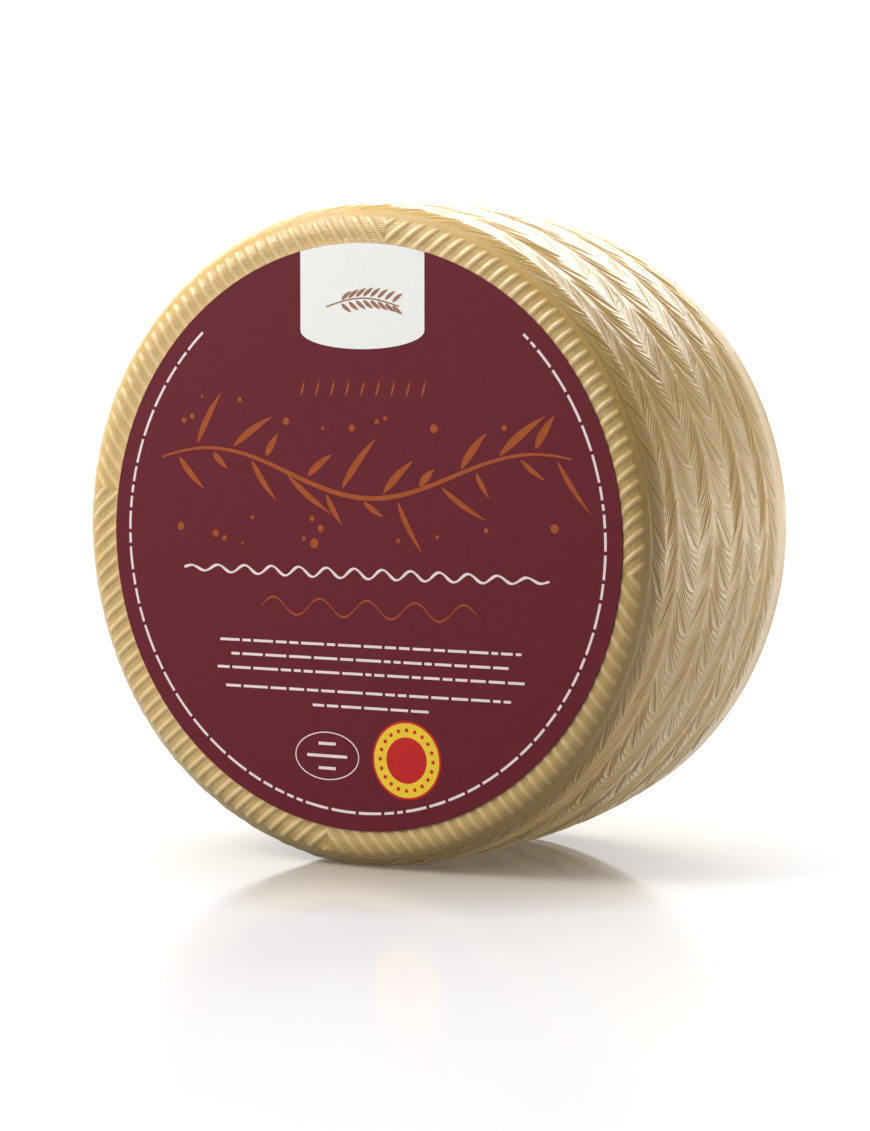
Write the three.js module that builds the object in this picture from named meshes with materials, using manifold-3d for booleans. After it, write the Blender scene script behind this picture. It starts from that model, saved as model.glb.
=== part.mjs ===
// A wheel of hard sheep's milk cheese on its curved side, with a round paper label on its front face.
// Millimetres, +Z up. The wheel's axis lies along Y and the labelled face looks towards -Y.
// Sizes across the wheel, named y, count from the plane of the front face's ridge tops.

import * as THREE from "three";
import { mergeVertices } from "three/addons/utils/BufferGeometryUtils.js";
import Module from "manifold-3d";

// The wheel's outline
const WIDTH = 99;
const WIDEST_RADIUS = 100.3;
const WIDEST_AT = 42;
const FRONT_RADIUS = 99.1;
const BACK_RADIUS = 96.9;
const FRONT_CORNER = 8.7;
const BACK_CORNER = 3.5;
const FRONT_TAPER_POWER = 2;
const BACK_TAPER_POWER = 2.5;
const UNEVENNESS = [
  { waves: 2, size: 0.16, phase: 0.6 },
  { waves: 5, size: 0.12, phase: -1 },
];

// The flat foot that the wheel has settled on, and the bulge beside it
const FOOT_DEPTH = 1.3;
const FOOT_BULGE = 0.6;
const FOOT_BULGE_AT = THREE.MathUtils.degToRad(-98);
const FOOT_BULGE_SPREAD = THREE.MathUtils.degToRad(9);

// The plaited print round the side: strands that fall and rise by turns from one band border to the next
const BAND_BORDERS = [1.7, 7.6, 15, 27, 36.8, 49.5, 58.8, 70.4, 77.5, 87.5];
const STRAND_COUNT = 50;
const STRAND_DEPTH = 1.1;
const BORDER_DEPTH_SHARE = 0.3;
const STRAND_FALL = 14.5;
const STRAND_CURVE = 1.4;
const WIDE_BAND = 11;
const WIDE_BAND_STEPS = 3;
const NARROW_BAND_STEPS = 2;
const BACK_LIP_AT = 89;

// The ridged print on both faces: four quarters of straight grooves that meet in open V shapes
const GROOVE_PITCH = 3.9;
const GROOVE_WIDTH = 2.6;
const GROOVE_DEPTH = 1;
const GROOVE_HEADROOM = 0.4;
const PRINT_TURN = THREE.MathUtils.degToRad(-6.5);
const FRONT_PRINT_CENTRE = new THREE.Vector2(0.8, 2.4);
const BACK_PRINT_CENTRE = new THREE.Vector2(-1.5, 1.0);
const FRONT_GROOVE_REACH = 95.8;
const BACK_GROOVE_REACH = 92.4;

// The label
const LABEL_RADIUS = 87.4;
const LABEL_THICKNESS = 0.25;
const LABEL_CENTRE = new THREE.Vector2(1.7, -0.15);
const LABEL_SIDES = 120;

const RIND_COLOUR = 0xe3cf9f;
const LABEL_COLOUR = 0x682630;

const FRONT_FLAT_RADIUS = FRONT_RADIUS - FRONT_CORNER;
const BACK_FLAT_RADIUS = BACK_RADIUS - BACK_CORNER;
const FOOT_LEVEL = FOOT_DEPTH - WIDEST_RADIUS;

const wasm = await Module();
wasm.setup();

// The radius of the wheel at a place across it, with both rounded corners.
function outlineRadius(y) {
  if (y < FRONT_CORNER) {
    return FRONT_FLAT_RADIUS + Math.sqrt(FRONT_CORNER ** 2 - (FRONT_CORNER - y) ** 2);
  }
  const backShoulder = WIDTH - BACK_CORNER;
  if (y > backShoulder) {
    return BACK_FLAT_RADIUS + Math.sqrt(Math.max(0, BACK_CORNER ** 2 - (y - backShoulder) ** 2));
  }
  if (y < WIDEST_AT) {
    const share = (WIDEST_AT - y) / (WIDEST_AT - FRONT_CORNER);
    return WIDEST_RADIUS - (WIDEST_RADIUS - FRONT_RADIUS) * share ** FRONT_TAPER_POWER;
  }
  const share = (y - WIDEST_AT) / (backShoulder - WIDEST_AT);
  return WIDEST_RADIUS - (WIDEST_RADIUS - BACK_RADIUS) * share ** BACK_TAPER_POWER;
}

// How far the wheel is out of round at an angle about its axis.
function outOfRound(angle) {
  const fromBulge = (angle - FOOT_BULGE_AT) / FOOT_BULGE_SPREAD;
  const bulge = FOOT_BULGE * Math.exp(-(fromBulge ** 2));
  const swings = UNEVENNESS.map(({ waves, size, phase }) => size * Math.cos(waves * angle + phase));
  return swings.reduce((sum, swing) => sum + swing, bulge);
}

// A row is one ring of vertices round the wheel: its place across the wheel, how far the strands have
// run round the wheel there, and how deep they are.
function cornerRows(shoulder, corner, angles) {
  return angles.map((angle) => ({ y: shoulder + corner * Math.sin(angle), run: 0, depth: 0 }));
}

function strandRows() {
  const rows = [];
  let run = 0;
  for (let band = 0; band < BAND_BORDERS.length - 1; band++) {
    const from = BAND_BORDERS[band];
    const to = BAND_BORDERS[band + 1];
    const falling = band % 2 === 0;
    const travel = falling ? -STRAND_FALL : STRAND_FALL;
    const steps = to - from > WIDE_BAND ? WIDE_BAND_STEPS : NARROW_BAND_STEPS;
    for (let step = 0; step < steps; step++) {
      const share = step / steps;
      const curved = 1 - (1 - share) ** STRAND_CURVE;
      const depth = step === 0 ? STRAND_DEPTH * BORDER_DEPTH_SHARE : STRAND_DEPTH;
      rows.push({ y: from + (to - from) * share, run: run + travel * curved, depth });
    }
    run += travel;
  }
  rows.push({ y: BAND_BORDERS.at(-1), run, depth: STRAND_DEPTH * BORDER_DEPTH_SHARE });
  rows.push({ y: BACK_LIP_AT, run, depth: 0 });
  return rows;
}

// A closed solid from shared vertices and triangles, turned right side out.
function solidFrom(vertices, triangles) {
  const build = (order) =>
    new wasm.Manifold(
      new wasm.Mesh({
        numProp: 3,
        vertProperties: new Float32Array(vertices.flat()),
        triVerts: new Uint32Array(order.flat()),
      }),
    );
  const solid = build(triangles);
  return solid.volume() > 0 ? solid : build(triangles.map(([a, b, c]) => [a, c, b]));
}

function solidFromGeometry(geometry) {
  const bare = geometry.clone();
  bare.deleteAttribute("normal");
  bare.deleteAttribute("uv");
  const merged = mergeVertices(bare, 1e-4);
  return new wasm.Manifold(
    new wasm.Mesh({
      numProp: 3,
      vertProperties: merged.getAttribute("position").array,
      triVerts: new Uint32Array(merged.index.array),
    }),
  );
}

function geometryFromSolid(solid) {
  const mesh = solid.getMesh();
  const geometry = new THREE.BufferGeometry();
  geometry.setAttribute("position", new THREE.BufferAttribute(mesh.vertProperties, 3));
  geometry.setIndex(new THREE.BufferAttribute(mesh.triVerts, 1));
  const faceted = geometry.toNonIndexed();
  faceted.computeVertexNormals();
  return faceted;
}

// The body with the plaited side: two columns of vertices for each strand, one on the rib between two
// strands and one in the hollow that a strand left.
function plaitedBody() {
  const quarter = Math.PI / 2;
  const backShoulder = WIDTH - BACK_CORNER;
  const rows = [
    ...cornerRows(FRONT_CORNER, FRONT_CORNER, [-quarter]),
    ...strandRows(),
    ...cornerRows(backShoulder, BACK_CORNER, [0, quarter / 2, quarter]),
  ];
  const columns = 2 * STRAND_COUNT;
  const vertices = [];
  for (const row of rows) {
    const radius = outlineRadius(row.y);
    for (let column = 0; column < columns; column++) {
      const angle = (column / columns) * 2 * Math.PI + row.run / WIDEST_RADIUS;
      const hollow = column % 2 === 1 ? row.depth : 0;
      const wrapped = Math.atan2(Math.sin(angle), Math.cos(angle));
      const reach = radius + outOfRound(wrapped) - hollow;
      vertices.push([reach * Math.cos(angle), row.y, reach * Math.sin(angle)]);
    }
  }
  const triangles = [];
  for (let ring = 0; ring < rows.length - 1; ring++) {
    for (let column = 0; column < columns; column++) {
      const a = ring * columns + column;
      const b = ring * columns + ((column + 1) % columns);
      triangles.push([a, b, a + columns], [b, b + columns, a + columns]);
    }
  }
  const frontMiddle = vertices.push([0, 0, 0]) - 1;
  const backMiddle = vertices.push([0, WIDTH, 0]) - 1;
  const lastRing = (rows.length - 1) * columns;
  for (let column = 0; column < columns; column++) {
    const next = (column + 1) % columns;
    triangles.push([frontMiddle, next, column]);
    triangles.push([backMiddle, lastRing + column, lastRing + next]);
  }
  return solidFrom(vertices, triangles);
}

// Where a straight line of the print crosses a circle about the wheel's axis.
function crossing(start, direction, radius) {
  const along = start.dot(direction);
  return -along + Math.sqrt(along ** 2 - start.lengthSq() + radius ** 2);
}

// One groove tool: a V section carried along stations. Each station has its middle and the sideways
// step from the middle to the section's edge, both in the plane of the face.
function grooveTool(stations) {
  const spread = 1 + GROOVE_HEADROOM / GROOVE_DEPTH;
  const vertices = [];
  for (const { middle, side } of stations) {
    const left = middle.clone().addScaledVector(side, spread);
    const right = middle.clone().addScaledVector(side, -spread);
    vertices.push([middle.x, GROOVE_DEPTH, middle.y]);
    vertices.push([left.x, -GROOVE_HEADROOM, left.y]);
    vertices.push([right.x, -GROOVE_HEADROOM, right.y]);
  }
  const triangles = [[0, 1, 2]];
  for (let station = 0; station < stations.length - 1; station++) {
    for (let corner = 0; corner < 3; corner++) {
      const a = 3 * station + corner;
      const b = 3 * station + ((corner + 1) % 3);
      triangles.push([a, a + 3, b], [b, a + 3, b + 3]);
    }
  }
  const last = 3 * (stations.length - 1);
  triangles.push([last, last + 2, last + 1]);
  return solidFrom(vertices, triangles);
}

// The far station of one leg of a V, or nothing where the leg would be too short to show.
function legEnd(start, direction, side, reach) {
  const length = crossing(start, direction, reach);
  if (length < GROOVE_WIDTH) {
    return [];
  }
  const middle = start.clone().addScaledVector(direction, length);
  return [{ middle, side: side.clone().multiplyScalar(GROOVE_WIDTH / 2) }];
}

// All grooves of one face, as tools whose ridge plane lies at y = 0 and that cut towards +Y.
function facePrint(centre, reach) {
  const tools = [];
  const unit = (angle) => new THREE.Vector2(Math.cos(angle), Math.sin(angle));
  const jointPitch = GROOVE_PITCH * Math.SQRT2;
  for (let quarter = 0; quarter < 4; quarter++) {
    const jointAngle = PRINT_TURN + (quarter * Math.PI) / 2;
    const joint = unit(jointAngle);
    const before = unit(jointAngle - Math.PI / 4);
    const after = unit(jointAngle + Math.PI / 4);
    for (let groove = 1; groove * jointPitch < reach - jointPitch; groove++) {
      const point = centre.clone().addScaledVector(joint, groove * jointPitch);
      const mitre = { middle: point, side: joint.clone().multiplyScalar(GROOVE_WIDTH * Math.SQRT1_2) };
      const legs = [legEnd(point, before, after, reach), legEnd(point, after, before, reach)];
      tools.push(grooveTool([...legs[0], mitre, ...legs[1]]));
    }
    if (quarter < 2) {
      const side = unit(jointAngle + Math.PI / 4);
      const ends = [before, before.clone().negate()].map((way) => legEnd(centre, way, side, reach));
      tools.push(grooveTool(ends.flat()));
    }
  }
  return wasm.Manifold.union(tools);
}

function cheeseGeometry() {
  const floorSize = 4 * WIDEST_RADIUS;
  const floor = new THREE.BoxGeometry(floorSize, floorSize, floorSize);
  floor.translate(0, 0, FOOT_LEVEL - floorSize / 2);
  const frontPrint = facePrint(FRONT_PRINT_CENTRE, FRONT_GROOVE_REACH);
  const backPrint = facePrint(BACK_PRINT_CENTRE, BACK_GROOVE_REACH).scale([1, -1, 1]);
  const wheel = plaitedBody()
    .asOriginal()
    .subtract(frontPrint)
    .subtract(backPrint.translate([0, WIDTH, 0]))
    .subtract(solidFromGeometry(floor));
  return geometryFromSolid(wheel);
}

const cheese = new THREE.Mesh(
  cheeseGeometry(),
  new THREE.MeshStandardMaterial({ color: RIND_COLOUR, roughness: 0.45, metalness: 0 }),
);
cheese.name = "cheese";

const label = new THREE.Mesh(
  new THREE.CylinderGeometry(LABEL_RADIUS, LABEL_RADIUS, LABEL_THICKNESS, LABEL_SIDES),
  new THREE.MeshStandardMaterial({ color: LABEL_COLOUR, roughness: 0.5, metalness: 0 }),
);
label.name = "label";
label.position.set(LABEL_CENTRE.x, -LABEL_THICKNESS / 2, LABEL_CENTRE.y);

// The group stands the wheel on its foot, with the middle of its box over the origin.
const wheel = new THREE.Group();
wheel.add(cheese, label);
const box = new THREE.Box3().setFromObject(cheese);
wheel.position.set(
  -(box.min.x + box.max.x) / 2,
  -(WIDTH - LABEL_THICKNESS) / 2,
  -box.min.z,
);

export default wheel;
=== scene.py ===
import math

import bmesh
import bpy
import numpy as np
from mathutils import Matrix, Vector


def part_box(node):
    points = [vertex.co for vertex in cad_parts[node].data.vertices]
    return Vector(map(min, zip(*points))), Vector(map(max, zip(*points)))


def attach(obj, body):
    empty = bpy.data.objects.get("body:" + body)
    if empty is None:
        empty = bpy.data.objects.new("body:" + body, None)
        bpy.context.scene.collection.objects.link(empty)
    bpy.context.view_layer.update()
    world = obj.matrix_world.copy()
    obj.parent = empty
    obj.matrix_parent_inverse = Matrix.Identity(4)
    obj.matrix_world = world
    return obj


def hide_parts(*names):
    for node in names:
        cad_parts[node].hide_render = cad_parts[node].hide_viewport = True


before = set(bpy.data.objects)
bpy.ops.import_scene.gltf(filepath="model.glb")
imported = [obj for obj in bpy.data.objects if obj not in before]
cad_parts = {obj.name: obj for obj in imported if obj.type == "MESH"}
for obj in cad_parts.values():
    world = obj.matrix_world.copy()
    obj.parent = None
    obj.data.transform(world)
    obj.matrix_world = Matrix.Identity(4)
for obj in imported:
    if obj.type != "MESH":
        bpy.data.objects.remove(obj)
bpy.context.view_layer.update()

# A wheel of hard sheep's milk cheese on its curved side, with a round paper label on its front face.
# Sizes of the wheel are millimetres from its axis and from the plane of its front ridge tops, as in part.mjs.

label_low, label_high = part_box("label")

MM = 0.001

# The camera stands where the photograph's outline of the wheel and of its label puts it
CAMERA_PLACE = (0.51586, -0.90382, 0.16023)
CAMERA_AZIMUTH = 29.741
CAMERA_ELEVATION = 3.982
CAMERA_LENS = 107.27
CAMERA_SENSOR = 36

# The wheel's outline
WIDTH = 99
WIDEST_RADIUS = 100.3
WIDEST_AT = 42
FRONT_RADIUS = 99.1
BACK_RADIUS = 96.9
FRONT_CORNER = 8.7
BACK_CORNER = 3.5
FRONT_TAPER_POWER = 2
BACK_TAPER_POWER = 2.5
UNEVENNESS = [(2, 0.16, 0.6), (5, 0.12, -1.0)]
FOOT_LEVEL = 1.3 - WIDEST_RADIUS
FOOT_BULGE = 0.6
FOOT_BULGE_AT = math.radians(-98)
FOOT_BULGE_SPREAD = math.radians(9)
EVEN_WITHIN = 78
SKIN = 0.06

# The plaited print round the side
BAND_BORDERS = np.array([1.7, 7.6, 15, 27, 36.8, 49.5, 58.8, 70.4, 77.5, 87.5])
STRAND_COUNT = 50
THREADS = 5
THREAD_COLUMNS = 8
LENS_COLUMNS = 10
STRAND_FALL = 14.5
STRAND_CURVE = 1.04
SCOOP_DEPTH = 0.42
LENS_EXTRA = 0.1
BORDER_DEPTH_SHARE = 0.35
LEAST_LENS = 0.05
FALLING_LENS = 0.36
RISING_LENS = 0.35
RISING_LENS_SPAN = (0.15, 0.9)
LENS_SWELL = 1.3
LENS_EDGE = 0.6
DEPTH_SWELL = 0.8
RIB_FLANK = 0.9
THREAD_REACH = 0.6
THREAD_HEIGHTS = (0.45, 1.0)
THREAD_MIDDLES = (0.2, 0.8)
THREAD_SHARPNESS = 1.5
# Threads stay paler than the hollows between them. The hollows, and more the lens under each rib, take a
# darker, more golden colour: partly the wax's own tone there, partly painted shade.
THREAD_PALENESS = 0.5
HOLLOW_TONE_AND_SHADE = 0.8
LENS_TONE_AND_SHADE = 0.1
STRAND_VARIETY = (0.75, 1.25)
ROW_STEP = 1.15
FRONT_ROWS = 8
LIP_ROWS = 9
CORNER_TURNS = np.radians(np.linspace(0, 80, 8))
SEAM_STEP = 0.12
PLAIT_START = (2.4, 4.6)
FRONT_BAND_DEPTH = 0.45
# The sunk smooth band at the front takes half the hollows' darker colour, partly painted shade.
FRONT_BAND_HOLLOW = 0.5
BACK_LIP_AT = 89
LIP_DEPTH = 0.25
LIP_LINE_SWING = 0.1
LIP_LINE_PITCH = 2.3
LIP_LINES_END = (94, 96.5)

# Waves round the wheel, as size in millimetres, waves, slope along the axis and phase
WANDER = [(0.4, 7, 0.11, 0), (0.3, 19, -0.17, 2)]

# Where the side takes the faces' golden tone, and where its back edge turns amber
FRONT_GOLD = (2.5, 5.0)
GOLD_FADE = (5, 75)
GOLD_SHARE = 0.45
LIP_AMBER = 0.15
EDGE_AMBER = (95.2, 98)

# The ridged print on both faces
GROOVE_PITCH = 3.9
LINES_PER_GROOVE = 8
GROOVE_DEPTH = 0.38
RIM_BAND_DEPTH = 0.22
RIM_BAND_INSIDE = 2.5
RIM_BAND_OUTSIDE = 1.2
# The rim band and the rungs stay paler than the valleys, whose darker colour is partly the wax's tone and
# partly painted shade.
RIM_BAND_PALENESS = 0.45
RIDGE_HALF_WIDTH = 0.3
RIDGE_FLANK = 0.7
RUNG_PITCH = 0.95
RUNG_SLANT = -0.8
RUNG_DEPTH = 0.12
RUNG_STEPS = 4
RUNG_FADE = 0.8
RUNG_PALENESS = 0.7
PRESSED_SHARE = 0.3
PRESSED_FROM = -0.5
PRESSED_REACH = 2
PRINT_TURN = math.radians(-6.5)
FRONT_PRINT_CENTRE = np.array([0.8, 2.4])
BACK_PRINT_CENTRE = np.array([-1.5, 1.0])
FRONT_RIDGE_REACH = 95.6
BACK_RIDGE_REACH = 92.6
FRONT_SEAM_RADIUS = 96.6
BACK_SEAM_RADIUS = 93.8
UNDER_LABEL_RADIUS = 85.5
UNDER_LABEL_DEPTH = 0.8

# Rows of vertices on each face, inwards from its rim
FRONT_STEPS = np.arange(0, 15.5, RUNG_PITCH / RUNG_STEPS)
BACK_STEPS = np.concatenate([np.arange(0, 3.2, 0.4), [3.8, 5, 7, 10, 14, 19, 25, 32, 40, 49, 59, 70, 82]])

# The label
LABEL_RADIUS = 87.35
LABEL_CENTRE = np.array([1.7, -0.15])
LABEL_SIDES = 240
LABEL_FRONT = -0.2
PRINT_LAYER = 0.012
DASH = (2, 9)
DASH_GAP = 1
DASH_HEIGHT = 0.8
DASH_LINES = [(-49, 55, -32), (-45, 51, -36.2), (-50, 56, -40.4), (-47, 53, -46), (-16, 24, -50.4)]
RIM_RADIUS = 82
RIM_DASH = (0.02, 0.11)
RIM_GAP = 0.014
RIM_TURNS = (math.radians(132), math.radians(407))
OVAL_CENTRE = (-11, -65.5)
SEAL_CENTRE = (16.5, -65.2)
SEAL_DOTS = 20
TAB_HALF = 21.3
TAB_MIDDLE = 1.3
TAB_LOW = 61.5
TAB_SAG = 5.5
BRANCH_LEAVES = 21
SMALL_LEAVES = 9
DOTS = 24
DOTS_ACROSS = (-70, 72)
DOTS_BELOW = (-3, 6)
DOTS_ABOVE = (32, 43)
DOT_RADIUS = (0.35, 1.5)
DOT_ROOM = 2.2

# Colours as seen on a screen
# The hollow colours are darker and more golden than the crest colours: partly the wax's own tone, partly
# painted shade.
SIDE_CREST = (242, 217, 171)
SIDE_HOLLOW_TONE_AND_SHADE = (201, 170, 106)
FACE_CREST = (226, 196, 140)
FACE_HOLLOW_TONE_AND_SHADE = (194, 158, 80)
AMBER = (224, 176, 98)
PAPER = (103, 29, 41)
TAB_INK = (250, 249, 245)
WHITE_INK = (245, 226, 228)
RUST_INK = (168, 82, 36)
TAUPE_INK = (160, 112, 90)
RED_INK = (200, 40, 38)
YELLOW_INK = (250, 208, 60)
FLOOR_TONES = [(196, 196, 196), (200, 200, 200)]
# Near the foot the floor is coloured warmer: painted bounce light from the wheel.
FLOOR_PAINTED_WARM_BOUNCE = (196, 184, 163)

# Noise in the materials, by scale, and the levels between which most of it lies
NOISE_SPAN = (0.3, 0.7)
BLOTCH_SCALE = 22
MOTTLE_SCALE = 420
TONE_SWING = (0.95, 1.04)
SHEEN_SCALE = 160
RIND_ROUGHNESS = (0.26, 0.42)
GRAIN_SCALE = 1500
GRAIN_DEPTH = 0.00012
INK_SCALE = 260
PAPER_SHEEN_SCALE = 900
PAPER_ROUGHNESS = (0.45, 0.55)
PAPER_GRAIN_SCALE = 2200
PAPER_GRAIN_DEPTH = 0.00003

# The floor, in metres, whose finish, painted glow and painted bounce colour change with the distance from the
# wheel's foot
FLOOR_BACK = 1.6
FLOOR_REACH = 9
NEAR_FOOT = (0.04, 0.13)
# The floor glows, which is painted light; the weaker glow near the foot paints a contact shadow.
GLOW_NEAR, GLOW_FAR = 0.05, 0.29
SHINE_NEAR, SHINE_FAR = 0.5, 0.08
BLUR_NEAR, BLUR_FAR = 0.05, 0.15

# The studio: a white backdrop behind the wheel, between heights that are sines of the angle above level
LIGHT_AIM = (0, 0, 0.1)
BACKDROP_TOWARDS = (-0.496, 0.868, 0)
BACKDROP_LOW = -0.08
BACKDROP_HIGH = 0.2
BACKDROP_STRENGTH = 1.12
ABOVE_BACKDROP = 0.4
AHEAD_SHARE = 0.11
AHEAD_HIGH = 0.65
TABLE_TOWARDS = (0.9, 0.43, 0)
TABLE_LOW = -0.7
TABLE_HIGH = -0.1
TABLE_SHARE = 0.8

FRONT_FLAT_RADIUS = FRONT_RADIUS - FRONT_CORNER
BACK_FLAT_RADIUS = BACK_RADIUS - BACK_CORNER
BACK_SHOULDER = WIDTH - BACK_CORNER
THREAD_PART = THREADS * THREAD_COLUMNS
STRAND_COLUMNS = THREAD_PART + LENS_COLUMNS
COLUMNS = STRAND_COUNT * STRAND_COLUMNS
STRAND_WIDTH = 2 * math.pi * WIDEST_RADIUS / STRAND_COUNT

# The wheel's axis and its front ridge plane in the row frame, from the place of the label's CAD node
AXIS_X = (label_low.x + label_high.x) / 2 - LABEL_CENTRE[0] * MM
AXIS_Z = (label_low.z + label_high.z) / 2 - LABEL_CENTRE[1] * MM
FRONT_Y = label_high.y

random = np.random.default_rng(11)


def to_row_frame(points):
    """Wheel millimetres (across, along the axis, up) to metres in the row frame."""
    return np.asarray(points) * MM + np.array([AXIS_X, FRONT_Y, AXIS_Z])


def smoothstep(low, high, value):
    share = np.clip((value - low) / (high - low), 0, 1)
    return share * share * (3 - 2 * share)


def srgb(red, green, blue):
    """A colour as seen on a screen, in the linear values that shaders take."""
    shares = [channel / 255 for channel in (red, green, blue)]
    linear = [s / 12.92 if s <= 0.04045 else ((s + 0.055) / 1.055) ** 2.4 for s in shares]
    return (*linear, 1.0)


# The camera
def make_camera():
    data = bpy.data.cameras.new("camera")
    data.sensor_width = CAMERA_SENSOR
    data.lens = CAMERA_LENS
    camera = bpy.data.objects.new("camera", data)
    bpy.context.scene.collection.objects.link(camera)
    camera.location = CAMERA_PLACE
    camera.rotation_euler = (math.radians(90 - CAMERA_ELEVATION), 0, math.radians(CAMERA_AZIMUTH))
    bpy.context.scene.camera = camera


# The outline of the wheel, as radius and outward normal at places y along the axis
def outline(y):
    y = np.asarray(y, float)
    ahead = np.clip((WIDEST_AT - y) / (WIDEST_AT - FRONT_CORNER), 0, 1)
    behind = np.clip((y - WIDEST_AT) / (BACK_SHOULDER - WIDEST_AT), 0, 1)
    front_drop = WIDEST_RADIUS - FRONT_RADIUS
    back_drop = WIDEST_RADIUS - BACK_RADIUS
    radius = WIDEST_RADIUS - front_drop * ahead**FRONT_TAPER_POWER - back_drop * behind**BACK_TAPER_POWER
    front_slope = front_drop * FRONT_TAPER_POWER * ahead / (WIDEST_AT - FRONT_CORNER)
    back_slope = back_drop * BACK_TAPER_POWER * behind ** (BACK_TAPER_POWER - 1) / (BACK_SHOULDER - WIDEST_AT)
    tilt = np.arctan(back_slope - front_slope)
    radial = np.cos(tilt)
    axial = np.sin(tilt)

    into_front = np.clip(FRONT_CORNER - y, 0, FRONT_CORNER)
    front_rise = np.sqrt(FRONT_CORNER**2 - into_front**2)
    in_front = y < FRONT_CORNER
    radius = np.where(in_front, FRONT_FLAT_RADIUS + front_rise, radius)
    radial = np.where(in_front, front_rise / FRONT_CORNER, radial)
    axial = np.where(in_front, -into_front / FRONT_CORNER, axial)

    into_back = np.clip(y - BACK_SHOULDER, 0, BACK_CORNER)
    back_rise = np.sqrt(BACK_CORNER**2 - into_back**2)
    in_back = y > BACK_SHOULDER
    radius = np.where(in_back, BACK_FLAT_RADIUS + back_rise, radius)
    radial = np.where(in_back, back_rise / BACK_CORNER, radial)
    axial = np.where(in_back, into_back / BACK_CORNER, axial)
    return radius, radial, axial


def out_of_round(angle):
    wrapped = np.arctan2(np.sin(angle), np.cos(angle))
    bulge = FOOT_BULGE * np.exp(-(((wrapped - FOOT_BULGE_AT) / FOOT_BULGE_SPREAD) ** 2))
    swings = [size * np.cos(waves * wrapped + phase) for waves, size, phase in UNEVENNESS]
    return bulge + sum(swings)


def wheel_points(angle, radius, y, radial, axial, depth):
    """Points on the wheel's outline, sunk by depth along its normal, and flattened at the foot."""
    inset = depth + SKIN
    rim_share = smoothstep(EVEN_WITHIN, FRONT_FLAT_RADIUS, radius)
    reach = radius + out_of_round(angle) * rim_share - inset * radial
    across = reach * np.cos(angle)
    up = np.maximum(reach * np.sin(angle), FOOT_LEVEL)
    return np.stack([across, y - inset * axial, up], axis=-1)


# The plaited side
def strand_run(y):
    """How far the strands have run round the wheel at y."""
    band = np.clip(np.searchsorted(BAND_BORDERS, y, side="right") - 1, 0, len(BAND_BORDERS) - 2)
    start = BAND_BORDERS[band]
    share = np.clip((y - start) / (BAND_BORDERS[band + 1] - start), 0, 1)
    curved = 1 - (1 - share) ** STRAND_CURVE
    falling = band % 2 == 0
    run = np.where(falling, -STRAND_FALL * curved, -STRAND_FALL * (1 - curved))
    return run, band, share, falling


def strand_phases(y, columns):
    """Share of the strand's width at each column, so that columns follow the threads, and the threads' share.

    A strand's phase is 0 on its lower rib and 1 on its upper rib. Thin threads fill its lower part, and the
    rest is a smooth hollow, as a lens, under the upper rib.
    """
    _, _, share, falling = strand_run(y)
    swell = np.sin(math.pi * share) ** LENS_SWELL
    rising = RISING_LENS * smoothstep(*RISING_LENS_SPAN, share) * swell
    lens = LEAST_LENS + np.where(falling, FALLING_LENS * swell, rising)
    threaded = (1 - lens)[:, None]
    column = (columns % STRAND_COLUMNS)[None, :]
    in_threads = threaded * column / THREAD_PART
    in_lens = threaded + (1 - threaded) * (column - THREAD_PART) / LENS_COLUMNS
    return np.where(column <= THREAD_PART, in_threads, in_lens), threaded


def plait_depth(y, columns):
    """Depth of the plaited print for rows y and columns of the grid, and how much of the hollows' darker
    colour it takes there: partly wax tone, partly painted shade.
    """
    _, band, share, _ = strand_run(y)
    strand = columns // STRAND_COLUMNS
    column = columns % STRAND_COLUMNS
    phase, threaded = strand_phases(y, columns)
    swell = np.sin(math.pi * share) ** DEPTH_SWELL
    variety = random.uniform(*STRAND_VARIETY, (len(BAND_BORDERS), STRAND_COUNT))[band][:, strand]
    strength = SCOOP_DEPTH * (BORDER_DEPTH_SHARE + (1 - BORDER_DEPTH_SHARE) * swell)

    heights = random.uniform(*THREAD_HEIGHTS, (len(BAND_BORDERS), STRAND_COUNT, THREADS + 1))
    middles = random.uniform(*THREAD_MIDDLES, heights.shape)
    number = np.minimum((column + THREAD_COLUMNS // 2) // THREAD_COLUMNS, THREADS)
    place = (band[:, None], strand[None, :], number[None, :])
    reach = np.exp(-(((share[:, None] - middles[place]) / THREAD_REACH) ** 2))
    from_crest = np.abs(column - number * THREAD_COLUMNS) / (THREAD_COLUMNS / 2)
    thread = np.clip(1 - from_crest, 0, 1)[None, :] ** THREAD_SHARPNESS * heights[place] * reach
    from_rib = np.minimum(phase, 1 - phase) * STRAND_WIDTH
    rib = (1 - smoothstep(0, RIB_FLANK, from_rib)) ** THREAD_SHARPNESS
    # Threads and ribs stay pale, and the rest takes the hollows' darker colour, more in the lens: partly wax
    # tone, partly painted shade.
    pale = np.maximum(THREAD_PALENESS * thread, rib)
    thread = np.maximum(thread, rib)

    in_lens = smoothstep(threaded, threaded + LENS_EDGE * (1 - threaded), phase)
    depth = strength[:, None] * variety * (1 + LENS_EXTRA * in_lens) * (1 - thread)
    return depth, (1 - pale) * (HOLLOW_TONE_AND_SHADE + LENS_TONE_AND_SHADE * in_lens)


def wander(angle, y):
    """Small unevenness of the plait along the side, in millimetres round the wheel."""
    return sum(size * np.sin(waves * angle + slope * y + phase) for size, waves, slope, phase in WANDER)


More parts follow.
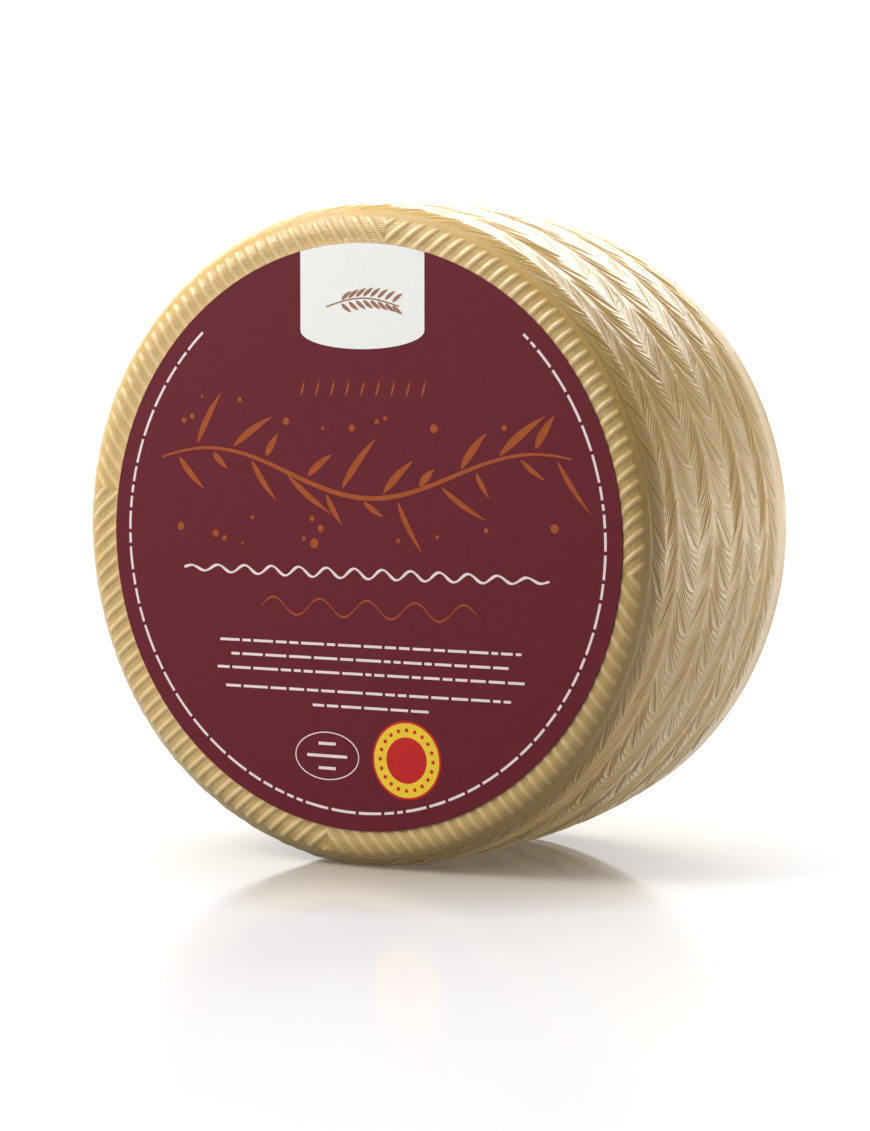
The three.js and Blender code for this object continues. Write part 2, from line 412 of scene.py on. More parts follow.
def side_rows():
    """Places y of the side's rows of vertices, closer together where a print or a corner needs it."""
    over = FRONT_SEAM_RADIUS - FRONT_FLAT_RADIUS
    front_seam = FRONT_CORNER - math.sqrt(FRONT_CORNER**2 - over**2) + SEAM_STEP
    stretches = [(front_seam, BAND_BORDERS[1], FRONT_ROWS)]
    for start, end in zip(BAND_BORDERS[1:-1], BAND_BORDERS[2:]):
        stretches.append((start, end, round((end - start) / ROW_STEP)))
    stretches.append((BAND_BORDERS[-1], BACK_SHOULDER, LIP_ROWS))
    rows = [np.linspace(start, end, steps, endpoint=False) for start, end, steps in stretches]
    rows.append(BACK_SHOULDER + BACK_CORNER * np.sin(CORNER_TURNS))
    return np.concatenate(rows)


def side_grid():
    y = side_rows()
    columns = np.arange(COLUMNS)
    run = strand_run(y)[0]
    radius, radial, axial = outline(y)
    strand = (columns // STRAND_COLUMNS)[None, :] + strand_phases(y, columns)[0]
    angle = strand / STRAND_COUNT * 2 * math.pi + run[:, None] / WIDEST_RADIUS
    angle = angle + wander(angle, y[:, None]) / WIDEST_RADIUS
    front_band = 1 - smoothstep(*PLAIT_START, y)
    printed = smoothstep(*PLAIT_START, y) * (1 - smoothstep(BAND_BORDERS[-1] - 0.5, BACK_LIP_AT + 0.8, y))
    lip = smoothstep(BAND_BORDERS[-1] - 1, BACK_LIP_AT + 1, y)
    amber = LIP_AMBER * lip + (1 - LIP_AMBER) * smoothstep(*EDGE_AMBER, y)
    lines = LIP_DEPTH + LIP_LINE_SWING * np.cos(2 * math.pi * y / LIP_LINE_PITCH)
    bands = lip * lines * (1 - smoothstep(*LIP_LINES_END, y)) + FRONT_BAND_DEPTH * front_band
    plait, hollow_tone_and_shade = plait_depth(y, columns)
    depth = plait * printed[:, None] + bands[:, None]
    places = y[:, None] + 0 * angle
    points = wheel_points(angle, radius[:, None], places, radial[:, None], axial[:, None], depth)
    # Share of the hollows' darker colour: partly wax tone, partly painted shade.
    hollow = hollow_tone_and_shade * printed[:, None] + FRONT_BAND_HOLLOW * front_band[:, None]
    golden = np.maximum(1 - smoothstep(*FRONT_GOLD, y), GOLD_SHARE * (1 - smoothstep(*GOLD_FADE, y)))
    golden = np.repeat(golden[:, None], COLUMNS, axis=1)
    ambers = np.repeat(amber[:, None], COLUMNS, axis=1)
    index = np.arange(points.shape[0] * COLUMNS).reshape(points.shape[0], COLUMNS)
    following = np.roll(index, -1, axis=1)
    quads = np.stack([index[:-1], following[:-1], following[1:], index[1:]], axis=-1).reshape(-1, 4)
    values = np.stack([hollow, golden, ambers], axis=-1).reshape(-1, 3)
    return points.reshape(-1, 3), values, quads, index[0], index[-1]


# The ridged faces: in each quarter the ridges run side by side, parallel to the quarter's middle
def unit(angle):
    return np.array([math.cos(angle), math.sin(angle)])


def crossing(starts, direction, radius):
    """How far along a direction lines from the starts leave a circle about the axis, or nan."""
    along = starts @ direction
    inside = along**2 - (starts**2).sum(-1) + radius**2
    return -along + np.sqrt(np.where(inside >= 0, inside, np.nan))


def ridge_depth(across, along, radius, reach, rungs):
    """Depth of a face's ridged print, and how much of the valleys' darker colour it takes there: partly wax
    tone, partly painted shade.
    """
    place = across / GROOVE_PITCH
    from_crest = np.abs(place - np.floor(place) - 0.5) * GROOVE_PITCH
    past_end = np.maximum(radius - (reach - 1), 0)
    ridge = 1 - smoothstep(RIDGE_HALF_WIDTH, RIDGE_HALF_WIDTH + RIDGE_FLANK, np.hypot(from_crest, past_end))
    band = smoothstep(reach - RIM_BAND_INSIDE, reach + RIM_BAND_OUTSIDE, radius)
    depth = GROOVE_DEPTH + (RIM_BAND_DEPTH - GROOVE_DEPTH) * band
    rung = 0.5 - 0.5 * np.cos(2 * math.pi * (along + RUNG_SLANT * across) / RUNG_PITCH)
    rung = rung * (1 - smoothstep(reach - 1.5, reach - 0.5, radius))
    rung = rung * smoothstep(0, RUNG_FADE, along - np.abs(across))
    # Valleys take the darker colour, partly wax tone and partly painted shade; ridges, rungs and the rim band
    # stay paler.
    hollow_tone_and_shade = (1 - ridge) * (1 - RUNG_PALENESS * rung) * (1 - RIM_BAND_PALENESS * band)
    return (depth - rungs * rung) * (1 - ridge), hollow_tone_and_shade


def quarter_grid(centre, quarter, reach, rim, inner, steps):
    joint = PRINT_TURN + quarter * math.pi / 2
    ahead = unit(joint + math.pi / 4)
    sideways = unit(joint + 3 * math.pi / 4)
    ends = [crossing(centre, unit(joint + turn), rim) / math.sqrt(2) for turn in (0, math.pi / 2)]
    line_step = GROOVE_PITCH / LINES_PER_GROOVE
    lines = np.arange(-math.floor(ends[0] / line_step), math.floor(ends[1] / line_step) + 1) * line_step
    extra = [-ends[0], ends[1]]
    if inner > 0:
        for turn, sign in ((0, -1), (math.pi / 2, 1)):
            extra.append(sign * crossing(centre, unit(joint + turn), inner) / math.sqrt(2))
    lines = np.sort(np.concatenate([lines, extra]))
    starts = centre + lines[:, None] * sideways
    outer_end = crossing(starts, ahead, rim)
    inner_end = np.abs(lines)
    if inner > 0:
        inner_end = np.fmax(inner_end, crossing(starts, ahead, inner))
    outer_end = np.maximum(outer_end, inner_end)
    along = np.maximum(outer_end[:, None] - steps[None, :], inner_end[:, None])
    along = np.concatenate([along, inner_end[:, None]], axis=1)
    across = np.repeat(lines[:, None], along.shape[1], axis=1)
    places = centre + across[..., None] * sideways + along[..., None] * ahead
    return across, along, places


def face_grid(centre, reach, rim, inner, steps, front):
    """The printed part of a face, with the ids of its rim and of its inner edge."""
    all_points, all_values, all_quads, rims, inners = [], [], [], [], []
    offset = 0
    for quarter in range(4):
        across, along, places = quarter_grid(centre, quarter, reach, rim, inner, steps)
        radius = np.hypot(places[..., 0], places[..., 1])
        angle = np.arctan2(places[..., 1], places[..., 0])
        flat, corner = (FRONT_FLAT_RADIUS, FRONT_CORNER) if front else (BACK_FLAT_RADIUS, BACK_CORNER)
        over = np.clip(radius - flat, 0, corner)
        fall = corner - np.sqrt(corner**2 - over**2)
        radial = over / corner
        axial = np.sqrt(1 - radial**2) * (-1 if front else 1)
        y = fall if front else WIDTH - fall
        depth, hollow = ridge_depth(across, along, radius, reach, RUNG_DEPTH if front else 0)
        if front:
            from_centre = places - LABEL_CENTRE
            from_label = np.hypot(from_centre[..., 0], from_centre[..., 1]) - LABEL_RADIUS
            free = smoothstep(PRESSED_FROM, PRESSED_REACH, from_label)
            depth = depth * (PRESSED_SHARE + (1 - PRESSED_SHARE) * free)
        points = wheel_points(angle, radius, y, radial, axial, depth)
        index = offset + np.arange(radius.size).reshape(radius.shape)
        quads = np.stack([index[:-1, :-1], index[1:, :-1], index[1:, 1:], index[:-1, 1:]], axis=-1)
        values = np.stack([hollow, np.ones_like(hollow), np.zeros_like(hollow)], axis=-1)
        all_points.append(points.reshape(-1, 3))
        all_values.append(values.reshape(-1, 3))
        all_quads.append(quads.reshape(-1, 4))
        rims.append(index[:, 0])
        inners.append(index[:, -1][radius[:, -1] < inner + 0.01])
        offset += radius.size
    return (
        np.concatenate(all_points),
        np.concatenate(all_values),
        np.concatenate(all_quads),
        np.concatenate(rims),
        np.concatenate(inners),
    )


def ring_order(points, ids):
    """Ids without repeats, in order of angle about the axis, and those angles."""
    ids = np.unique(ids)
    angle = np.arctan2(points[ids, 2], points[ids, 0])
    order = np.argsort(angle)
    return ids[order], angle[order]


def zip_rings(points, first, second):
    """Triangles that join two rings of points about the axis."""
    a, angle_a = ring_order(points, first)
    b, angle_b = ring_order(points, second)
    triangles = []
    i, j = 0, 0
    while i < len(a) or j < len(b):
        next_a = angle_a[i + 1] if i + 1 < len(a) else angle_a[(i + 1) % len(a)] + 2 * math.pi
        next_b = angle_b[j + 1] if j + 1 < len(b) else angle_b[(j + 1) % len(b)] + 2 * math.pi
        here_a, here_b = a[i % len(a)], b[j % len(b)]
        if j >= len(b) or (i < len(a) and next_a < next_b):
            triangles.append((here_a, a[(i + 1) % len(a)], here_b))
            i += 1
        else:
            triangles.append((here_a, b[(j + 1) % len(b)], here_b))
            j += 1
    return triangles


def clean_faces(faces):
    """Faces without corners that fell together, and without what is left with no area."""
    kept = []
    for face in faces:
        corners = [c for n, c in enumerate(face) if c != face[n - 1]]
        if len(set(corners)) == len(corners) and len(corners) > 2:
            kept.append(corners)
    return kept


def make_cheese():
    side_points, side_values, side_quads, side_front, side_back = side_grid()
    front = face_grid(
        FRONT_PRINT_CENTRE, FRONT_RIDGE_REACH, FRONT_SEAM_RADIUS, UNDER_LABEL_RADIUS, FRONT_STEPS, True
    )
    back = face_grid(BACK_PRINT_CENTRE, BACK_RIDGE_REACH, BACK_SEAM_RADIUS, 0, BACK_STEPS, False)

    front_offset = len(side_points)
    back_offset = front_offset + len(front[0])
    middle = np.array([[FRONT_PRINT_CENTRE[0], UNDER_LABEL_DEPTH, FRONT_PRINT_CENTRE[1]]])
    points = np.concatenate([side_points, front[0], back[0], middle])
    values = np.concatenate([side_values, front[1], back[1], [[0.8, 1, 0]]])
    unique, first, merged = np.unique(np.round(points, 4), axis=0, return_index=True, return_inverse=True)
    merged = merged.ravel()
    values = values[first]

    quads = np.concatenate([side_quads, front[2] + front_offset, back[2] + back_offset])
    faces = merged[quads].tolist()
    faces += zip_rings(unique, merged[side_front], merged[front[3] + front_offset])
    faces += zip_rings(unique, merged[side_back], merged[back[3] + back_offset])
    hub = merged[-1]
    rim, _ = ring_order(unique, merged[front[4] + front_offset])
    faces += [(rim[n - 1], rim[n], hub) for n in range(len(rim))]

    mesh = bpy.data.meshes.new("cheese_rind")
    mesh.from_pydata(to_row_frame(unique).tolist(), [], clean_faces(faces))
    for name, column in (("hollow", 0), ("golden", 1), ("amber", 2)):
        attribute = mesh.attributes.new(name, "FLOAT", "POINT")
        attribute.data.foreach_set("value", values[:, column].astype(np.float32))
    build = bmesh.new()
    build.from_mesh(mesh)
    bmesh.ops.recalc_face_normals(build, faces=build.faces)
    for face in build.faces:
        face.smooth = True
    build.to_mesh(mesh)
    build.free()
    cheese = bpy.data.objects.new("cheese_rind", mesh)
    bpy.context.scene.collection.objects.link(cheese)
    return cheese


# The label and its print: thin closed plates and strips in the plane of the front face
def add_plate(build, edge, back, front):
    """A flat plate with a convex edge, given as (across, up) points about the label's centre."""
    rings = []
    for y in (back, front):
        places = [(x + LABEL_CENTRE[0], y, z + LABEL_CENTRE[1]) for x, z in edge]
        rings.append([build.verts.new(place) for place in to_row_frame(places)])
    build.faces.new(rings[0])
    build.faces.new(rings[1])
    for n in range(len(edge)):
        build.faces.new([rings[0][n - 1], rings[0][n], rings[1][n], rings[1][n - 1]])


def add_strip(build, left, right, back, front, closed=False):
    """A strip between two edges with as many points each, such as a brush stroke or a ring."""
    stations = []
    for (left_x, left_z), (right_x, right_z) in zip(left, right):
        behind = [(left_x, back, left_z), (right_x, back, right_z)]
        ahead = [(right_x, front, right_z), (left_x, front, left_z)]
        moved = [(x + LABEL_CENTRE[0], y, z + LABEL_CENTRE[1]) for x, y, z in behind + ahead]
        stations.append([build.verts.new(place) for place in to_row_frame(moved)])
    first = 0 if closed else 1
    for n in range(first, len(stations)):
        before, here = stations[n - 1], stations[n]
        for corner in range(4):
            build.faces.new([before[corner - 1], before[corner], here[corner], here[corner - 1]])
    if not closed:
        build.faces.new(stations[0])
        build.faces.new(stations[-1])


def circle(radius, sides, centre=(0, 0), squash=1.0):
    turns = [2 * math.pi * n / sides for n in range(sides)]
    return [(centre[0] + radius * math.cos(t), centre[1] + radius * squash * math.sin(t)) for t in turns]


def stroke_edges(path, widths):
    """Both edges of a stroke along a path with a width at each of its points."""
    path = np.asarray(path, float)
    way = np.gradient(path, axis=0)
    way /= np.linalg.norm(way, axis=1)[:, None]
    side = np.stack([-way[:, 1], way[:, 0]], axis=1) * np.asarray(widths)[:, None] / 2
    return path + side, path - side


def leaf_edges(base, angle, length, width, bend):
    """A pointed leaf or brush mark from its base, bent sideways by a share of its length."""
    share = np.linspace(0, 1, 13)
    ahead, sideways = unit(angle), unit(angle + math.pi / 2)
    path = np.asarray(base) + np.outer(share * length, ahead) + np.outer(bend * length * share**2, sideways)
    widths = width * np.sin(math.pi * share**0.8) ** 0.9 + 0.12
    return stroke_edges(path, widths)


class Print:
    """One colour of the label's print."""

    def __init__(self, name, layer):
        self.name = name
        self.build = bmesh.new()
        self.back = LABEL_FRONT + 0.004
        self.front = LABEL_FRONT - layer * PRINT_LAYER

    def plate(self, edge):
        add_plate(self.build, edge, self.back, self.front)

    def strip(self, edges, closed=False):
        add_strip(self.build, edges[0], edges[1], self.back, self.front, closed)

    def bar(self, start, end, up, height):
        low, high = up - height / 2, up + height / 2
        self.plate([(start, low), (end, low), (end, high), (start, high)])

    def arc_bar(self, radius, start, end, height):
        turns = np.linspace(start, end, max(2, round(abs(end - start) / 0.03) + 1))
        radii = (radius - height / 2, radius + height / 2)
        edges = [[(r * math.cos(t), r * math.sin(t)) for t in turns] for r in radii]
        self.strip(edges)

    def finish(self, material):
        return finish_piece(self.name, self.build, material)


def finish_piece(name, build, material):
    bmesh.ops.recalc_face_normals(build, faces=build.faces)
    mesh = bpy.data.meshes.new(name)
    build.to_mesh(mesh)
    build.free()
    mesh.materials.append(material)
    piece = bpy.data.objects.new(name, mesh)
    bpy.context.scene.collection.objects.link(piece)
    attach(piece, "root")
    return piece


def add_dashes(print_piece, start, end, up, height):
    """A line of plain dashes."""
    place = start
    while place < end - DASH_GAP:
        length = min(random.uniform(*DASH), end - place)
        print_piece.bar(place, place + length, up, height)
        place += length + DASH_GAP


def white_print():
    """Lines of dashes, a wavy line and an oval with three bars."""
    white = Print("print_white", 2)
    for start, end, up in DASH_LINES:
        add_dashes(white, start, end, up, DASH_HEIGHT)
    turn, last_turn = RIM_TURNS
    while turn < last_turn:
        length = random.uniform(*RIM_DASH)
        white.arc_bar(RIM_RADIUS, turn, turn + length, DASH_HEIGHT)
        turn += length + RIM_GAP
    share = np.linspace(0, 1, 141)
    wave = 1.5 * np.sin(2 * math.pi * share * 13) * np.sin(math.pi * share) ** 0.3
    path = np.stack([-62 + 126 * share, -10.5 + wave], axis=1)
    white.strip(stroke_edges(path, 0.55 + 0.35 * np.sin(2 * math.pi * share * 13 + 1) ** 2))
    white.strip([circle(11.2, 48, OVAL_CENTRE, 0.65), circle(10.85, 48, OVAL_CENTRE, 0.64)], closed=True)
    for half, up in ((3, -61.8), (7, -65.5), (3, -69.2)):
        white.bar(OVAL_CENTRE[0] - half, OVAL_CENTRE[0] + half, up, 0.9)
    return white


def tab_edge():
    """A plain tab that hangs from the label's top edge, with a round lower end."""
    right = math.acos((TAB_MIDDLE + TAB_HALF) / LABEL_RADIUS)
    left = math.acos((TAB_MIDDLE - TAB_HALF) / LABEL_RADIUS)
    reach = LABEL_RADIUS - 0.05
    top = [(reach * math.cos(t), reach * math.sin(t)) for t in np.linspace(right, left, 17)]
    low_turns = np.linspace(0, math.pi, 21)
    low = [(TAB_MIDDLE - TAB_HALF * math.cos(t), TAB_LOW - TAB_SAG * math.sin(t)) for t in low_turns]
    return top + low


def tab_print():
    tab = Print("print_tab", 1)
    tab.plate(tab_edge())
    return tab


def tab_ornament():
    """A small ear of grain on the tab."""
    ear = Print("print_taupe", 2)
    share = np.linspace(0, 1, 21)
    path = np.stack([-11 + 25 * share, 68.5 + 2.5 * np.sin(math.pi * share)], axis=1)
    ear.strip(stroke_edges(path, np.full(21, 0.45)))
    for n in range(8):
        base = path[4 + 2 * n]
        for sign in (-1, 1):
            start = base + np.array([0.3, 0.55 * sign])
            ear.strip(leaf_edges(start, sign * 0.75, 4.2, 1.1, -0.12 * sign))
    return ear


def rust_print():
    """A painted branch with slender leaves, scattered dots, a row of small leaves and a thin vine."""
    rust = Print("print_rust", 1)
    share = np.linspace(0, 1, 81)
    stem = np.stack([-70 + 141 * share, 19 + 7 * np.sin(2 * math.pi * share * 1.25 + 0.6)], axis=1)
    rust.strip(stroke_edges(stem, 0.6 + 0.8 * np.sin(math.pi * share)))
    painted = [stem]
    for n in range(BRANCH_LEAVES):
        base = stem[3 + round(3.7 * n)]
        sign = 1 if n % 2 else -1
        length = 13 + 6 * math.sin(2.3 * n)
        lean = sign * (0.95 + 0.25 * math.sin(1.7 * n))
        leaf = leaf_edges(base + unit(lean) * 1.7, lean, length, 1.9 + 0.7 * math.sin(3.1 * n), -0.14 * sign)
        rust.strip(leaf)
        painted.extend(leaf)
    for n in range(SMALL_LEAVES):
        leaf = leaf_edges((-20 + 5.2 * n, 42.2), 1.2, 4.6, 0.6, 0.1)
        rust.strip(leaf)
        painted.extend(leaf)
    scatter_dots(rust, DOTS, painted)
    vine_share = np.linspace(0, 1, 101)
    vine = np.stack([-34 + 74 * vine_share, -21 + 2.6 * np.sin(2 * math.pi * vine_share * 4.5)], axis=1)
    rust.strip(stroke_edges(vine, 0.28 + 0.3 * np.sin(math.pi * vine_share * 9) ** 2))
    return rust


def scatter_dots(print_piece, count, painted):
    """Dots above and below the branch, clear of what is painted already and of each other."""
    taken = np.concatenate(painted)
    while count:
        across = random.uniform(*DOTS_ACROSS)
        up = random.choice([random.uniform(*DOTS_BELOW), random.uniform(*DOTS_ABOVE)])
        place = np.array([across, up])
        radius = random.uniform(*DOT_RADIUS)
        if np.hypot(*(taken - place).T).min() < radius + DOT_ROOM:
            continue
        print_piece.plate(circle(radius, 20, place))
        taken = np.concatenate([taken, [place]])
        count -= 1


def seal_print():
    """A plain round seal in yellow and red."""
    red_edge = Print("print_red_edge", 1)
    red_edge.plate(circle(11.8, 64, SEAL_CENTRE))
    yellow = Print("print_yellow", 2)
    yellow.plate(circle(11.1, 64, SEAL_CENTRE))
    red = Print("print_red", 3)
    red.plate(circle(6.9, 48, SEAL_CENTRE))
    for dot in circle(9, SEAL_DOTS, SEAL_CENTRE):
        red.plate(circle(0.6, 12, dot))
    return [red_edge, red], yellow


def make_label(material):
    build = bmesh.new()
    add_plate(build, circle(LABEL_RADIUS, LABEL_SIDES), -0.01, LABEL_FRONT)
    label = finish_piece("label_paper", build, material)
    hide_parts("label")


# Materials
def start_material(name):
    material = bpy.data.materials.new(name)
    material.use_nodes = True
    nodes = material.node_tree.nodes
    return material, nodes, material.node_tree.links, nodes["Principled BSDF"]


def add_noise(nodes, links, coordinates, scale, detail=3.0):
    noise = nodes.new("ShaderNodeTexNoise")
    noise.inputs["Scale"].default_value = scale
    noise.inputs["Detail"].default_value = detail
    links.new(coordinates.outputs["Object"], noise.inputs["Vector"])
    return noise.outputs["Fac"]


def mix_colours(nodes, links, factor, first, second, blend="MIX"):
    """A colour mix, where each side is a colour or the output of a node."""
    mix = nodes.new("ShaderNodeMix")
    mix.data_type = "RGBA"
    mix.blend_type = blend
    inputs = [socket for socket in mix.inputs if socket.enabled]
    for socket, value in zip(inputs, (factor, first, second)):
        if isinstance(value, bpy.types.NodeSocket):
            links.new(value, socket)
        else:
            socket.default_value = value
    return [socket for socket in mix.outputs if socket.enabled][0]


def remap(nodes, links, value, low, high, new_low, new_high):
    node = nodes.new("ShaderNodeMapRange")
    node.inputs["From Min"].default_value = low
    node.inputs["From Max"].default_value = high
    node.inputs["To Min"].default_value = new_low
    node.inputs["To Max"].default_value = new_high
    links.new(value, node.inputs["Value"])
    return node.outputs["Result"]


def noise_between(nodes, links, coordinates, scale, low, high, detail=3.0):
    """Noise that varies between two values."""
    noise = add_noise(nodes, links, coordinates, scale, detail)
    return remap(nodes, links, noise, *NOISE_SPAN, low, high)


def attribute(nodes, name):
    node = nodes.new("ShaderNodeAttribute")
    node.attribute_name = name
    return node.outputs["Fac"]


def add_bump(nodes, links, height, distance, strength):
    bump = nodes.new("ShaderNodeBump")
    bump.inputs["Strength"].default_value = strength
    bump.inputs["Distance"].default_value = distance
    links.new(height, bump.inputs["Height"])
    return bump.outputs["Normal"]


def rind_material():
    material, nodes, links, shader = start_material("rind")
    coordinates = nodes.new("ShaderNodeTexCoord")
    # The hollow attribute darkens the colour in the hollows: partly the wax's own tone, partly painted shade.
    hollow = attribute(nodes, "hollow")
    side = mix_colours(nodes, links, hollow, srgb(*SIDE_CREST), srgb(*SIDE_HOLLOW_TONE_AND_SHADE))
    face = mix_colours(nodes, links, hollow, srgb(*FACE_CREST), srgb(*FACE_HOLLOW_TONE_AND_SHADE))
    colour = mix_colours(nodes, links, attribute(nodes, "golden"), side, face)
    colour = mix_colours(nodes, links, attribute(nodes, "amber"), colour, srgb(*AMBER))
    blotches = noise_between(nodes, links, coordinates, BLOTCH_SCALE, *TONE_SWING)
    mottle = noise_between(nodes, links, coordinates, MOTTLE_SCALE, *TONE_SWING)
    tone = nodes.new("ShaderNodeMath")
    tone.operation = "MULTIPLY"
    links.new(blotches, tone.inputs[0])
    links.new(mottle, tone.inputs[1])
    toned = mix_colours(nodes, links, 1.0, colour, tone.outputs[0], "MULTIPLY")
    links.new(toned, shader.inputs["Base Color"])
    roughness = noise_between(nodes, links, coordinates, SHEEN_SCALE, *RIND_ROUGHNESS)
    links.new(roughness, shader.inputs["Roughness"])
    grain = add_noise(nodes, links, coordinates, GRAIN_SCALE, 2)
    fine = add_bump(nodes, links, grain, GRAIN_DEPTH, 0.5)
    links.new(fine, shader.inputs["Normal"])
    shader.inputs["Subsurface Weight"].default_value = 0.75
    shader.inputs["Subsurface Radius"].default_value = (1.0, 0.75, 0.4)
    shader.inputs["Subsurface Scale"].default_value = 0.0009
    shader.inputs["Specular IOR Level"].default_value = 0.45
    shader.inputs["Coat Weight"].default_value = 0.15
    shader.inputs["Coat Roughness"].default_value = 0.14
    return material


def paper_material(name, seen, spread):
    """Printed paper: an even colour with the faint mottling of ink, and a fine grain."""
    material, nodes, links, shader = start_material(name)
    coordinates = nodes.new("ShaderNodeTexCoord")
    colour = srgb(*seen)
    darker = tuple(channel * (1 - spread) for channel in colour[:3]) + (1.0,)
    lighter = tuple(min(1, channel * (1 + spread)) for channel in colour[:3]) + (1.0,)
    mottle = noise_between(nodes, links, coordinates, INK_SCALE, 0, 1, 4)
    links.new(mix_colours(nodes, links, mottle, darker, lighter), shader.inputs["Base Color"])
    grain = add_noise(nodes, links, coordinates, PAPER_GRAIN_SCALE, 2)
    links.new(add_bump(nodes, links, grain, PAPER_GRAIN_DEPTH, 0.4), shader.inputs["Normal"])
    sheen = noise_between(nodes, links, coordinates, PAPER_SHEEN_SCALE, *PAPER_ROUGHNESS)
    links.new(sheen, shader.inputs["Roughness"])
    shader.inputs["Specular IOR Level"].default_value = 0.15
    return material


def floor_material():
    """A white floor that is shinier near the wheel's foot, where a warmer colour paints bounce light and a
    weaker glow paints shade.
    """
    material, nodes, links, shader = start_material("floor")
    coordinates = nodes.new("ShaderNodeTexCoord")
    tone = noise_between(nodes, links, coordinates, 3, 0, 1)
    plain = mix_colours(nodes, links, tone, *(srgb(*seen) for seen in FLOOR_TONES))
    from_foot = nodes.new("ShaderNodeVectorMath")
    from_foot.operation = "LENGTH"
    links.new(coordinates.outputs["Object"], from_foot.inputs[0])
    near_foot = remap(nodes, links, from_foot.outputs["Value"], *NEAR_FOOT, 1, 0)
    # A warmer colour near the foot: painted bounce light.
    colour = mix_colours(nodes, links, near_foot, plain, srgb(*FLOOR_PAINTED_WARM_BOUNCE))
    links.new(colour, shader.inputs["Base Color"])
    # The glow is painted light, weaker near the foot as a painted shadow; roughness and shine are the floor's
    # finish.
    for socket, near, far in (
        ("Roughness", BLUR_NEAR, BLUR_FAR),
        ("Specular IOR Level", SHINE_NEAR, SHINE_FAR),
        ("Emission Strength", GLOW_NEAR, GLOW_FAR),
    ):
        links.new(remap(nodes, links, near_foot, 0, 1, far, near), shader.inputs[socket])
    shader.inputs["Emission Color"].default_value = (1, 1, 1, 1)
    return material


# The floor and the light
def make_floor():
    build = bmesh.new()
    front = [(-FLOOR_REACH, -FLOOR_REACH), (FLOOR_REACH, -FLOOR_REACH)]
    back = [(FLOOR_REACH, FLOOR_BACK), (-FLOOR_REACH, FLOOR_BACK)]
    build.faces.new([build.verts.new((x, y, 0)) for x, y in front + back])
    mesh = bpy.data.meshes.new("floor")
    build.to_mesh(mesh)
    build.free()
    mesh.materials.append(floor_material())
    floor = bpy.data.objects.new("floor", mesh)
    bpy.context.scene.collection.objects.link(floor)
    floor.visible_diffuse = False
    floor.visible_shadow = False


def area_light(name, place, size, watts, colour):
    """A soft light that looks at the wheel."""
    data = bpy.data.lights.new(name, "AREA")
    data.shape = "RECTANGLE"
    data.size, data.size_y = size
    data.energy = watts
    data.color = colour
    light = bpy.data.objects.new(name, data)
    bpy.context.scene.collection.objects.link(light)
    light.location = place
    light.visible_camera = False
    direction = Vector(LIGHT_AIM) - Vector(place)
    light.rotation_euler = direction.to_track_quat("-Z", "Y").to_euler()


def height_ramp(nodes, links, height, stops):
    """Brightness by height, from (height, brightness) pairs."""
    ramp = nodes.new("ShaderNodeValToRGB")
    elements = ramp.color_ramp.elements
    while len(elements) < len(stops):
        elements.new(0.5)
    for element, (level, bright) in zip(elements, stops):
        element.position = 0.5 + level / 2
        element.color = (bright, bright, bright, 1)
    links.new(height, ramp.inputs["Fac"])
    return ramp.outputs["Color"]


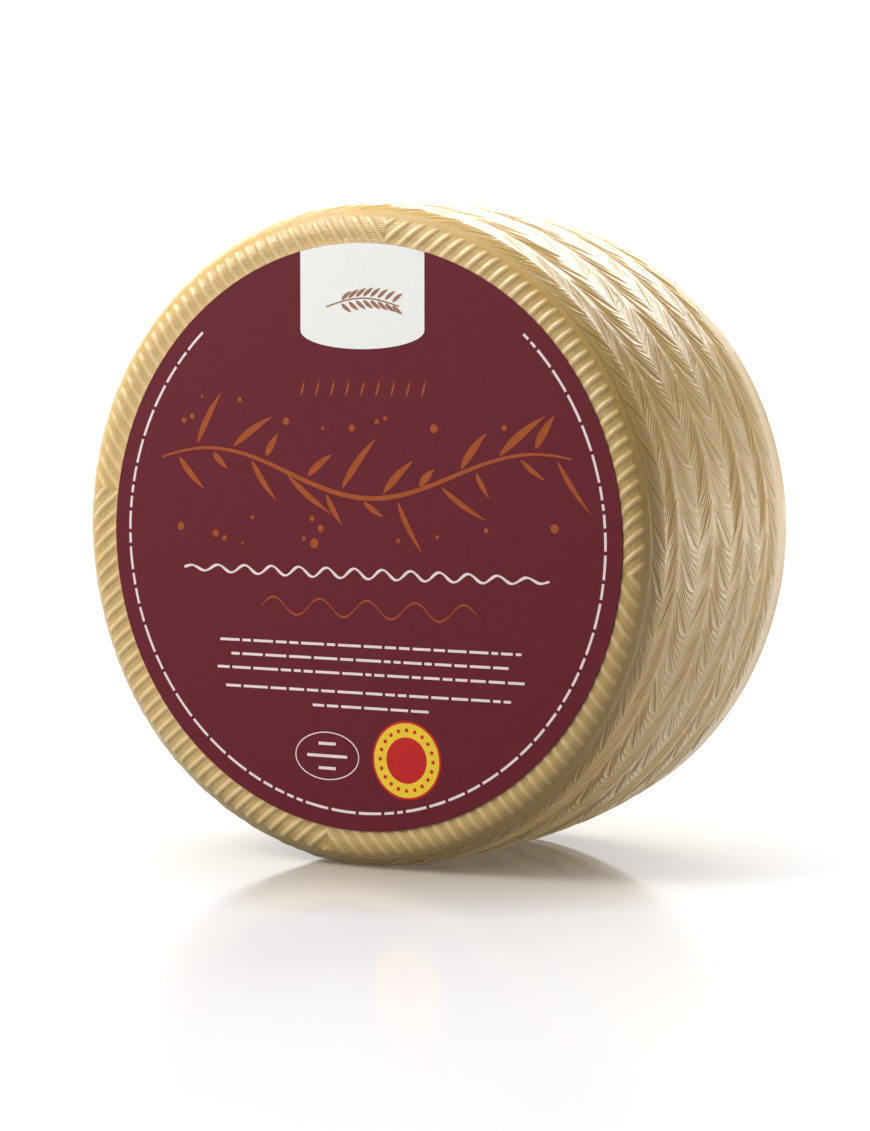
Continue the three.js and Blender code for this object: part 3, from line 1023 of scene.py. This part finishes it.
def make_world():
    """A white backdrop behind the wheel, a weak glow from ahead and a white table at the right."""
    world = bpy.data.worlds.new("studio")
    bpy.context.scene.world = world
    world.use_nodes = True
    nodes, links = world.node_tree.nodes, world.node_tree.links
    coordinates = nodes.new("ShaderNodeTexCoord")
    parts = nodes.new("ShaderNodeSeparateXYZ")
    links.new(coordinates.outputs["Generated"], parts.inputs["Vector"])
    height = remap(nodes, links, parts.outputs["Z"], -1, 1, 0, 1)
    behind_stops = [
        (BACKDROP_LOW, 0),
        (BACKDROP_LOW + 0.01, 1),
        (BACKDROP_HIGH, 1),
        (BACKDROP_HIGH + 0.1, ABOVE_BACKDROP),
    ]
    behind = height_ramp(nodes, links, height, behind_stops)
    ahead_stops = [(-0.01, 0), (0, AHEAD_SHARE), (AHEAD_HIGH - 0.1, AHEAD_SHARE), (AHEAD_HIGH, 0)]
    ahead = height_ramp(nodes, links, height, ahead_stops)
    table_stops = [
        (TABLE_LOW, 0),
        (TABLE_LOW + 0.1, TABLE_SHARE),
        (TABLE_HIGH - 0.01, TABLE_SHARE),
        (TABLE_HIGH, 0),
    ]
    table = height_ramp(nodes, links, height, table_stops)
    shares = []
    for towards in (BACKDROP_TOWARDS, TABLE_TOWARDS):
        turned = nodes.new("ShaderNodeVectorMath")
        turned.operation = "DOT_PRODUCT"
        turned.inputs[1].default_value = towards
        links.new(coordinates.outputs["Generated"], turned.inputs[0])
        shares.append(remap(nodes, links, turned.outputs["Value"], 0.2, 0.3, 0, 1))
    studio = mix_colours(nodes, links, shares[0], ahead, behind)
    studio = mix_colours(nodes, links, shares[1], studio, table, "ADD")
    links.new(studio, nodes["Background"].inputs["Color"])
    nodes["Background"].inputs["Strength"].default_value = BACKDROP_STRENGTH


def make_light():
    make_world()
    area_light("overhead", (-0.2, 0.1, 1.3), (1.3, 1.2), 7.5, (1.0, 1.0, 1.0))
    area_light("top_back", (-0.2, 1.2, 1.1), (1.3, 0.8), 19.5, (0.98, 0.985, 1.0))
    area_light("top_left_front", (-0.75, -0.75, 1.0), (0.8, 0.8), 21, (1.0, 1.0, 1.0))
    area_light("front_left", (-0.9, -1.3, 0.4), (1.2, 0.8), 6, (1.0, 1.0, 1.0))
    area_light("left_back", (-0.8, 1.1, 0.9), (0.8, 0.8), 4.3, (1.0, 1.0, 1.0))
    area_light("far_right", (2.2, 0.9, 0.3), (0.9, 0.6), 3.8, (1.0, 0.94, 0.82))
    area_light("low_right_back", (0.7, 0.6, 0.06), (0.9, 0.2), 2.1, (1.0, 0.94, 0.82))
    bpy.context.scene.view_settings.view_transform = "Standard"


make_camera()
make_floor()
make_light()

cheese = make_cheese()
cheese.data.materials.append(rind_material())
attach(cheese, "root")
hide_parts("cheese")

make_label(paper_material("label_paper", PAPER, 0.06))
tab_print().finish(paper_material("ink_tab", TAB_INK, 0.01))
white_print().finish(paper_material("ink_white", WHITE_INK, 0.03))
rust_print().finish(paper_material("ink_rust", RUST_INK, 0.1))
tab_ornament().finish(paper_material("ink_taupe", TAUPE_INK, 0.06))
red_prints, yellow_print = seal_print()
red_ink = paper_material("ink_red", RED_INK, 0.05)
for red_print in red_prints:
    red_print.finish(red_ink)
yellow_print.finish(paper_material("ink_yellow", YELLOW_INK, 0.04))
